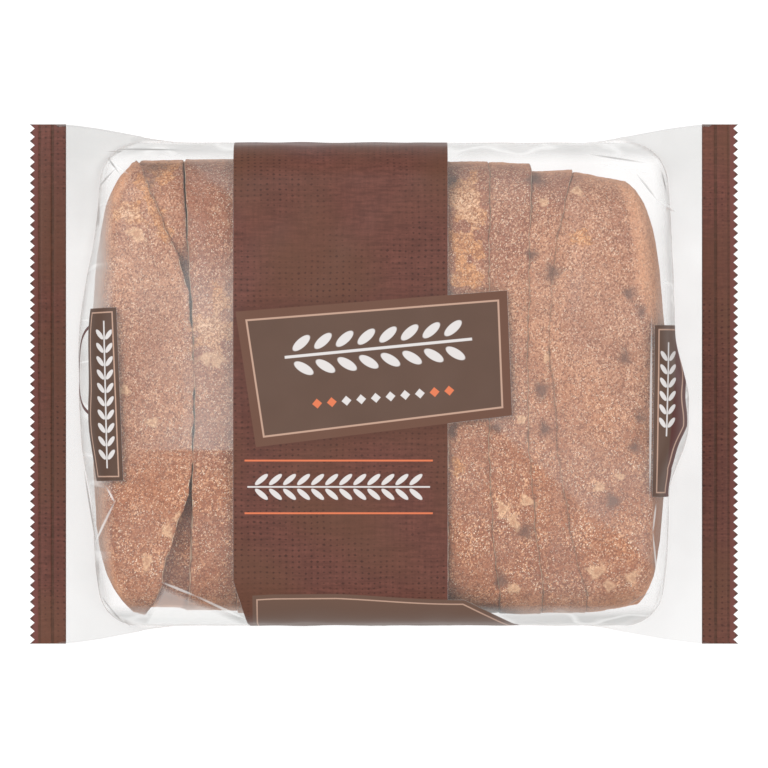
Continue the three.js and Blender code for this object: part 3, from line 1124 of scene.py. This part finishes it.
def seal_points(bag, side):
    """A thin closed strip: rows round its cross-section, columns from end to end."""
    half = bag.fin_width / 2
    inner = bag.half_length - bag.seal_depth
    valley = bag.half_length - bag.tooth_depth
    across = np.append(np.linspace(inner, valley - 0.0001, SEAL_ROWS), 0.0)
    columns = []
    count = 2 * bag.tooth_count
    ys = np.linspace(-half, half, count + 1)
    for k, y in enumerate(ys):
        tip = valley if k % 2 else bag.half_length
        x = across.copy()
        x[-1] = tip
        press = sum(np.exp(-((x - line) / CRIMP_HALF_WIDTH) ** 2) for line in CRIMP_LINES)
        rib = SEAL_RIB_HEIGHT * math.sin(2 * math.pi * y / SEAL_RIB_PITCH)
        thick = SEAL_HALF - CRIMP_DEPTH * press + rib
        bend = SEAL_WAVE * math.sin(y / 0.019) * smooth((x - inner) / bag.seal_depth)
        edge = 0.0 if k in (0, count) else 1.0
        top = bag.fin_level + bend + thick * edge
        bottom = bag.fin_level + bend - thick * edge
        loop_x = np.concatenate([x, x[::-1], x[:1]])
        loop_z = np.concatenate([top, bottom[::-1], top[:1]])
        columns.append(np.column_stack([side * loop_x, np.full(len(loop_x), y), loop_z]))
    return np.array(columns)


SEAM_MIDDLE_Y = 0.004
SEAM_WIDTH = 0.012
SEAM_RIB = 0.0011


class BREADBAG_OT_back_seam(bpy.types.Operator):
    """Makes the lapped seam along the underside"""

    bl_idname = "breadbag.back_seam"
    bl_label = "Back seam"

    def execute(self, context):
        bag = context.scene.bag_sizes
        reach = SHOULDER_X - 0.002
        deselect()
        bpy.ops.mesh.primitive_grid_add(x_subdivisions=120, y_subdivisions=12, size=1)
        seam = context.object
        seam.name = seam.data.name = "back_seam"
        co = places(seam)
        x, v = co[:, 0] * 2 * reach, co[:, 1]
        wander = 0.0006 * np.sin(x / 0.021)
        lift = 0.00008 * np.sin(x / SEAM_RIB) * np.cos(v * math.pi)
        z = bag.under_gap * 0.6 + lift
        put(seam, np.column_stack([x, SEAM_MIDDLE_Y + v * SEAM_WIDTH + wander, z]))
        thick = seam.modifiers.new("thickness", "SOLIDIFY")
        thick.thickness = bag.under_gap * 0.3
        bpy.ops.object.modifier_apply(modifier="thickness")
        bpy.ops.object.shade_smooth_by_angle(angle=math.radians(40))
        seam.data.materials.append(seam_finish())
        finish_piece(seam)
        return {"FINISHED"}


# Loaf

# Edges of the slices as seen from above, as (across, along) points in millimetres.
LEFT_END = (
    (-67.0, -70.5), (-65.5, -73.4), (-63.5, -75.8), (-61.0, -77.8), (-55.4, -80.6),
    (-45.2, -82.6), (-27.8, -83.7), (9.9, -84.1), (24.4, -83.8), (35.4, -83.1),
    (44.1, -82.0), (51.9, -80.5), (58.6, -77.6), (62.6, -73.8), (64.5, -71.4),
)
LEFT_CUT = (
    (-67.0, -68.6), (-65.5, -66.6), (-63.5, -65.4), (-59.7, -64.1), (-51.0, -62.4),
    (-39.4, -58.3), (-30.7, -55.7), (-19.1, -54.5), (-4.6, -54.2), (12.8, -54.45),
    (24.4, -55.5), (34.5, -58.2), (43.2, -61.5), (53.4, -65.8), (63.0, -69.7), (64.5, -70.8),
)
SECOND_CUT = (
    (-63.0, -54.8), (-30.7, -54.7), (-4.6, -53.9), (12.8, -54.4), (43.2, -56.0), (63.5, -57.1),
)
LATER_CUTS = (
    ((0.0, -42.2), (60.0, -42.0)),
    ((0.0, -30.2), (60.0, -30.4)),
    ((0.0, -18.0), (60.0, -17.8)),
    ((0.0, -6.1), (60.0, -6.0)),
    ((0.0, 6.1), (60.0, 6.3)),
    ((-60.0, 18.3), (60.0, 18.0)),
    ((-58.0, 33.0), (-43.8, 31.0), (-15.0, 29.9), (65.0, 30.2)),
    ((-54.2, 45.2), (-42.3, 43.2), (-15.1, 41.2), (0.0, 40.9), (37.4, 41.5), (60.6, 42.1)),
    ((-60.0, 58.0), (-50.2, 55.1), (-42.3, 53.1), (-33.9, 51.9), (-20.0, 49.6), (-5.8, 48.7),
     (11.9, 47.0), (30.2, 47.9), (40.0, 49.3), (54.8, 52.2), (62.1, 54.5)),
)
RIGHT_END = (
    (-66.0, 76.0), (-55.0, 79.4), (-30.0, 80.8), (-20.0, 81.6), (10.0, 81.6), (20.0, 80.6),
    (33.0, 79.8), (47.6, 78.4), (54.0, 76.4), (60.0, 72.5),
)
# The slices right of the wedges, how brown each is, and how much narrower at the far side.
SLICE_NAMES = ("slice_2", "slice_3", "slice_4", "slice_5", "slice_6", "slice_7",
               "slice_8", "slice_9", "slice_10", "end_slice_right")
TOASTED = (1.0, 0.5, 0.4, 0.4, 0.5, 0.5, 0.75, 0.6, 0.45, 0.15)
NARROWER = {"slice_8": 0.0019, "slice_9": 0.0012, "slice_10": 0.0034, "end_slice_right": 0.0040}
USUAL_NARROWER = 0.0004
FACE_GAP = 0.00001
HEEL_LEAN = 0.004
HEEL_OVERLAP = 0.009
WEDGE_SLOPE = 0.008
# How far the slice behind the wedges lies below the rest: at the far side, and how much more in
# front of that.
SLICE_SUNK = 0.0018
SUNK_MORE = 0.0052
# Thicknesses that set how many rows of corners the crust gets.
SLICE_THICKNESS = 0.012
LEFT_HEEL_THICKNESS = 0.030
RIGHT_HEEL_THICKNESS = 0.032
# Faces this near to a cut belong to it, and the painted shade along its rim is about this wide.
FACE_REACH = 0.00005
RIM_REACH = 0.0005
# Width of the smooth crust that lay against the tin: on the left end, and on the right one at the
# near and the far side.
LEFT_TIN_WIDTH = 0.0062
RIGHT_TIN_WIDTHS = (0.0050, 0.0100)
# How far from its left face the slice behind the wedges carries painted shade.
SHADED_WIDTH = 0.0106
# Size and strength of the crust's soft swells and of its fine grit, and the relief of its marks.
SWELL = (0.014, 0.0009)
GRIT = (0.0024, 0.0005)
BLISTER_HEIGHT = 0.0004
HOLE_DEPTH = 0.0015
FLAKE_DEPTH = 0.0003


def edge_line(points, wiggle=0.0):
    """A smoothed curve x(y) through points in millimetres, with an uneven edge."""
    at = np.arange(-75.0, 75.5, 0.5)
    across, along = zip(*points)
    line = np.interp(at, across, along)
    for _ in range(2):
        line = np.convolve(np.pad(line, 4, mode="edge"), np.ones(9) / 9, mode="valid")
    start = along[0]
    line = line + wiggle * (np.sin(at / 1.9 + start) + 0.7 * np.sin(at / 0.83 + 3 * start)
                            + np.sin(at / 4.7 + 2 * start))
    return lambda y, z: np.interp(y / MM, at, line) * MM


def leaning(line, amount):
    """The same face, further left the lower it is; amount may depend on y."""
    return lambda y, z: line(y, z) - amount(y) * (1 - z / 0.075)


def shifted(face, amount):
    """The same face, further right."""
    return lambda y, z: face(y, z) + amount


def outline(loaf, half_width, middle_y):
    """Closed slice outline (y, z), with close steps on its top and wider ones below."""
    power = 2 / loaf.squareness
    t = np.linspace(0, 2 * math.pi, 6001) - math.pi / 2
    c, s = np.cos(t), np.sin(t)
    middle_z = (loaf.bottom + loaf.top) / 2
    y = middle_y + half_width * np.sign(c) * np.abs(c) ** power
    z = middle_z + (loaf.top - loaf.bottom) / 2 * np.sign(s) * np.abs(s) ** power
    step = np.hypot(np.diff(y), np.diff(z))
    weight = np.where(z[1:] > 0.6 * loaf.top, 1.0, 0.4)
    run = np.concatenate([[0], np.cumsum(step * weight)])
    count = int(run[-1] / loaf.crust_step)
    at = np.linspace(0, run[-1], count + 1)
    return np.column_stack([np.interp(at, run, y), np.interp(at, run, z)])


CUT_ROWS = ((0.0, 0.0), (0.0, 0.3), (0.0, 0.6), (0.0, 0.8), (0.0, 0.93), (0.0, 0.9935),
            (0.006, 0.9975), (0.016, 0.9993), (0.032, 1.0))


def slice_rows(thickness, loaf):
    """From one cut face over the crust to the other: (share across, share of the size)."""
    crust = [(f, 1.0) for f in np.linspace(0.1, 0.9, round(thickness * 0.8 / loaf.crust_step))]
    return [*CUT_ROWS, *crust, *((1 - f, k) for f, k in reversed(CUT_ROWS))]


def heel_rows(thickness, loaf, reach, taper):
    """From the middle of a crusty end over its round edge and the crust to the cut face."""
    power = 2 / 3.2
    steps = round(0.5 * math.pi * thickness * reach / loaf.crust_step)
    angle = np.linspace(0, math.pi / 2, steps)
    dome = zip(reach * (1 - np.cos(angle) ** power), (1 - taper) * np.sin(angle) ** power)
    count = round(thickness * (0.9 - reach) / loaf.crust_step)
    crust = [(mix(reach, 0.9, f), 1 - taper * (1 - f)) for f in np.linspace(0, 1, count + 1)[1:]]
    inner = [(0.0, k) for k in (0.0, 0.1, 0.2)]
    return [*inner, *list(dome)[1:], *crust, *((1 - f, k) for f, k in reversed(CUT_ROWS))]


def slice_points(shape, left, right, rows):
    """The corners of a slice between two faces: one closed loop a row."""
    middle = np.array([shape[:, 0].mean(), (shape[:, 1].min() + shape[:, 1].max()) / 2])
    points = []
    for f, k in rows:
        y, z = (middle + (shape - middle) * k).T
        points.append(np.column_stack([mix(left(y, z), right(y, z), f), y, z]))
    return np.array(points)


# Marks on the top crust as (x, y, radius) in millimetres.
HOLES = (
    (18.6, 58.3, 2.0), (43.2, 58.6, 2.2), (42.1, 36.8, 1.5), (48.1, 31.9, 2.4),
    (69.9, 25.8, 1.8), (73.4, 20.6, 1.5), (68.7, 7.5, 1.9), (45.0, -1.7, 2.3),
    (45.8, -12.8, 1.5), (73.4, -9.0, 1.8), (71.6, -18.0, 1.6), (19.4, -13.3, 1.8),
    (31.9, -12.5, 1.5), (65.3, -33.4, 2.0), (40.3, -42.3, 2.0), (33.4, -56.3, 2.0),
)
BLISTERS = (
    (46.4, 7.5, 1.3), (39.4, -10.2, 1.5), (67.6, -26.4, 1.2), (61.5, -29.3, 1.6),
    (40.6, -33.4, 2.0), (33.6, -35.4, 2.2), (36.8, -39.4, 2.4), (60.9, -53.4, 2.6),
    (64.4, -57.7, 2.0), (70.8, -55.4, 2.0), (37.4, -58.3, 1.7), (45.8, 51.9, 1.4),
    (55.1, 55.4, 1.6), (-74.2, -1.7, 1.8), (-66.1, -11.0, 1.6), (-58.6, -38.0, 1.5),
    (-61.5, -41.5, 2.0), (-67.6, -50.5, 2.2), (-72.8, 48.4, 3.8), (-48.7, 16.8, 5.5),
    (24.1, 51.3, 6.0), (-49.0, 8.0, 4.0), (-70.5, 43.0, 3.0),
)
FLAKED = (
    (24.1, 51.3, 6.6), (20.5, 55.0, 4.0), (22.0, 39.2, 4.8), (25.5, 38.0, 3.4),
    (23.5, 31.0, 4.6), (56.3, 41.8, 3.0), (-46.7, 24.0, 3.6), (-48.7, 15.0, 6.5),
    (-72.8, 48.4, 4.6), (-68.2, 56.0, 2.4), (-64.9, 48.5, 2.6), (-62.0, 42.3, 2.4),
    (21.0, -24.0, 2.6), (-63.5, 61.0, 4.6), (-69.6, 58.6, 2.0),
    (-66.6, 52.2, 2.2), (-63.4, 45.2, 2.2),
)


def marks(co, spots, seed):
    """How strongly each point lies in one of the spots, with ragged edges."""
    draw = random.Random(seed)
    x, y, z = co.T
    total = np.zeros(len(co))
    for cx, cy, size in spots:
        a, b = draw.uniform(0, 6.28), draw.uniform(0, 6.28)
        stretch = draw.uniform(0.75, 1.3)
        dx, dy = (x / MM - cx) * stretch, (y / MM - cy) / stretch
        angle = np.arctan2(dy, dx)
        ragged = size * (1 + 0.22 * np.sin(3 * angle + a) + 0.14 * np.sin(7 * angle + b))
        total = np.maximum(total, np.exp(-((dx ** 2 + dy ** 2) / ragged ** 2) ** 1.2))
    return total * (z > 0.055)


def crusted(piece, toast, rim):
    """Relief and marks of the crust: soft swells, fine grit, flaked patches, blisters, holes."""
    smooth_x = places(piece)[:, 0]
    roughen(piece, "swell", *SWELL)
    roughen(piece, "grit", *GRIT)
    co = places(piece)
    co[:, 0] = mix(co[:, 0], smooth_x, rim)
    flaked, blister, hole = marks(co, FLAKED, 5), marks(co, BLISTERS, 7), marks(co, HOLES, 3)
    set_attribute(piece, "flaked", flaked)
    set_attribute(piece, "pale", blister)
    set_attribute(piece, "hollow", hole)
    browner = mix(0.6, 1.4, smooth((co[:, 1] - 0.026) / 0.022))
    set_attribute(piece, "toast", toast * browner)
    set_attribute(piece, "rim", rim)
    co[:, 2] += BLISTER_HEIGHT * blister - HOLE_DEPTH * hole - FLAKE_DEPTH * flaked
    put(piece, co)


class BREADBAG_OT_loaf(bpy.types.Operator):
    """Makes the slices of the loaf, each as its own piece"""

    bl_idname = "breadbag.loaf"
    bl_label = "Loaf"

    def execute(self, context):
        loaf = context.scene.loaf_sizes
        colours = context.scene.bag_colours
        skins = [crust_finish(colours), crumb_finish(colours)]
        for name, shape, left, right, rows, toast, sink in self.plan(loaf):
            points = slice_points(shape, left, right, rows)
            points[..., 2] -= sink(points[..., 1]) * smooth(points[..., 2] / loaf.top)
            piece = sheet_piece(name, points)
            for skin in skins:
                piece.data.materials.append(skin)
            rim = self.dress(piece, left, right)
            set_attribute(piece, "level", self.level_before(places(piece), sink, loaf) / MM)
            crusted(piece, toast, rim)
            finish_piece(piece)
        return {"FINISHED"}

    def plan(self, loaf):
        """One entry a slice: name, outline, faces, rows, how brown and how far its top sinks."""
        draw = random.Random(21)
        heel_end = edge_line(LEFT_END)
        heel_cut = leaning(edge_line(LEFT_CUT, 0.22), lambda y: HEEL_LEAN)
        heel = outline(loaf, loaf.half_width, -0.0010)
        rows = heel_rows(LEFT_HEEL_THICKNESS, loaf, 0.30, 0.010)
        yield "end_slice_left", heel, heel_end, heel_cut, rows, 0.25, self.level(0.0004)

        def behind(y, z):
            return np.maximum(heel_cut(y, z) - HEEL_OVERLAP, heel_end(y, z) + 0.0025)

        def sunk(y):
            return SLICE_SUNK + SUNK_MORE * smooth((0.042 - y) / 0.010)

        second_cut = leaning(edge_line(SECOND_CUT, 0.1),
                             lambda y: WEDGE_SLOPE * smooth((-0.025 - y) / 0.02))
        second = outline(loaf, loaf.half_width - 0.001, 0.0)

        def parted(y, z):
            return second_cut(y, z) - 0.0005 * smooth((y - 0.034) / 0.012)

        rows = slice_rows(SLICE_THICKNESS, loaf)
        yield "slice_1", second, behind, parted, rows, 0.45, sunk

        right_end = edge_line(RIGHT_END)
        faces = [second_cut] + [edge_line(cut, 0.14) for cut in LATER_CUTS] + [right_end]
        for i, name in enumerate(SLICE_NAMES):
            narrow = NARROWER.get(name, USUAL_NARROWER)
            half = loaf.half_width - narrow / 2 + draw.uniform(-0.0005, 0.0004)
            middle = -0.0002 - narrow / 2 + draw.uniform(-0.0004, 0.0004)
            shape = outline(loaf, half, middle)
            left, right = shifted(faces[i], FACE_GAP), shifted(faces[i + 1], -FACE_GAP)
            rows = slice_rows(SLICE_THICKNESS, loaf)
            if name == "end_slice_right":
                turned_rows = reversed(heel_rows(RIGHT_HEEL_THICKNESS, loaf, 0.28, 0.035))
                rows = [(1 - f, k) for f, k in turned_rows]
            yield (name, shape, left, right, rows, TOASTED[i],
                   self.level(draw.uniform(0.0, 0.0006)))

    @staticmethod
    def level_before(co, sink, loaf):
        """Each point's height before its slice's top sank."""
        fallen = sink(co[:, 1])
        return co[:, 2] + fallen * smooth((co[:, 2] + fallen) / loaf.top)

    @staticmethod
    def level(amount):
        return lambda y: np.full_like(y, amount)

    @staticmethod
    def dress(piece, left, right):
        """Puts crumb on the cut faces, and returns how near each point is to a cut's rim."""
        centre, normal = face_values(piece, "center"), face_values(piece, "normal")
        y, z = centre[:, 1], centre[:, 2]
        near = np.minimum(np.abs(centre[:, 0] - left(y, z)), np.abs(centre[:, 0] - right(y, z)))
        cut = (near < FACE_REACH) & (np.abs(normal[:, 0]) > 0.5)
        if piece.name == "end_slice_left":
            cut &= normal[:, 0] > 0
        if piece.name == "end_slice_right":
            cut &= normal[:, 0] < 0
        piece.data.polygons.foreach_set("material_index", cut.astype(np.int32))
        x, y, z = places(piece).T
        from_left, from_right = np.abs(x - left(y, z)), np.abs(right(y, z) - x)
        tin = np.zeros(len(x))
        shade = np.zeros(len(x))
        if piece.name == "end_slice_left":
            tin = smooth((LEFT_TIN_WIDTH - from_left) / 0.0036)
            near = from_right
        elif piece.name == "end_slice_right":
            wide = mix(*RIGHT_TIN_WIDTHS, smooth((y - 0.005) / 0.030))
            tin = smooth((wide - from_right) / 0.0040)
            near = from_left
        else:
            near = np.minimum(from_left, from_right)
        # The slice behind the wedges gets painted shade beside the heel's cut.
        if piece.name == "slice_1":
            shade = smooth((SHADED_WIDTH - from_left) / 0.0016) * smooth((z - 0.058) / 0.004)
        set_attribute(piece, "shade", shade)
        set_attribute(piece, "tin", tin)
        return np.exp(-(near / RIM_REACH) ** 2)


FLOOR_SIZE = 3.0
# Softboxes: name, place, size and power in watts.
SOFTBOXES = (
    ("key", (-0.55, 0.45, 1.25), 0.7, 11.0),
    ("fill", (0.7, -0.35, 1.0), 0.8, 5.0),
)


class BREADBAG_OT_stage(bpy.types.Operator):
    """Makes the pale floor, the soft lights and the camera"""

    bl_idname = "breadbag.stage"
    bl_label = "Stage"

    def execute(self, context):
        look = context.scene.stage_look
        bag = context.scene.bag_sizes
        deselect()
        bpy.ops.mesh.primitive_plane_add(size=FLOOR_SIZE, location=(0, 0, 0))
        floor = context.object
        floor.name = "floor"
        floor.data.materials.append(floor_finish(look.floor_glow))

        world = bpy.data.worlds.new("studio")
        world.use_nodes = True
        background = world.node_tree.nodes["Background"]
        background.inputs["Color"].default_value = (1.0, 1.0, 1.0, 1.0)
        background.inputs["Strength"].default_value = look.room_light
        context.scene.world = world

        for softbox in SOFTBOXES:
            self.add_softbox(context, *softbox)

        deselect()
        bpy.ops.object.camera_add(location=(0, 0, bag.fin_level + look.camera_distance))
        camera = context.object
        camera.name = "camera"
        camera.rotation_euler = (0, 0, 0)
        camera.data.lens = camera.data.sensor_width * look.camera_distance / look.view_width
        camera.data.clip_end = 20.0
        context.scene.camera = camera
        context.scene.view_settings.view_transform = "Standard"
        return {"FINISHED"}

    @staticmethod
    def add_softbox(context, name, where, size, power):
        deselect()
        bpy.ops.object.light_add(type="AREA", location=where)
        lamp = context.object
        lamp.name = name
        lamp.data.size = size
        lamp.data.energy = power
        lamp.rotation_euler = (-Vector(where)).to_track_quat("-Z", "Y").to_euler()


class BREADBAG_PT_panel(bpy.types.Panel):
    """Lists the pieces of the bagged loaf and their sizes"""

    bl_idname = "BREADBAG_PT_panel"
    bl_label = "Bread Bag"
    bl_space_type = "VIEW_3D"
    bl_region_type = "UI"
    bl_category = "Bread Bag"

    def draw(self, context):
        for operator in OPERATORS:
            self.layout.operator(operator.bl_idname)
        for name in GROUPS:
            group = getattr(context.scene, name)
            box = self.layout.box()
            for key in group.__annotations__:
                box.prop(group, key)


GROUPS = {
    "bag_sizes": BagSizes,
    "loaf_sizes": LoafSizes,
    "bag_colours": Colours,
    "stage_look": StageLook,
}
OPERATORS = (
    BREADBAG_OT_loaf,
    BREADBAG_OT_film,
    BREADBAG_OT_seals,
    BREADBAG_OT_back_seam,
    BREADBAG_OT_stage,
)
CLASSES = (*GROUPS.values(), *OPERATORS, BREADBAG_PT_panel)


def register():
    for cls in CLASSES:
        bpy.utils.register_class(cls)
    for name, group in GROUPS.items():
        setattr(bpy.types.Scene, name, bpy.props.PointerProperty(type=group))


def unregister():
    for name in GROUPS:
        delattr(bpy.types.Scene, name)
    for cls in reversed(CLASSES):
        bpy.utils.unregister_class(cls)


def main():
    register()
    bpy.ops.breadbag.loaf()
    bpy.ops.breadbag.film()
    bpy.ops.breadbag.seals()
    bpy.ops.breadbag.back_seam()
    bpy.ops.breadbag.stage()


if __name__ == "__main__":
    main()
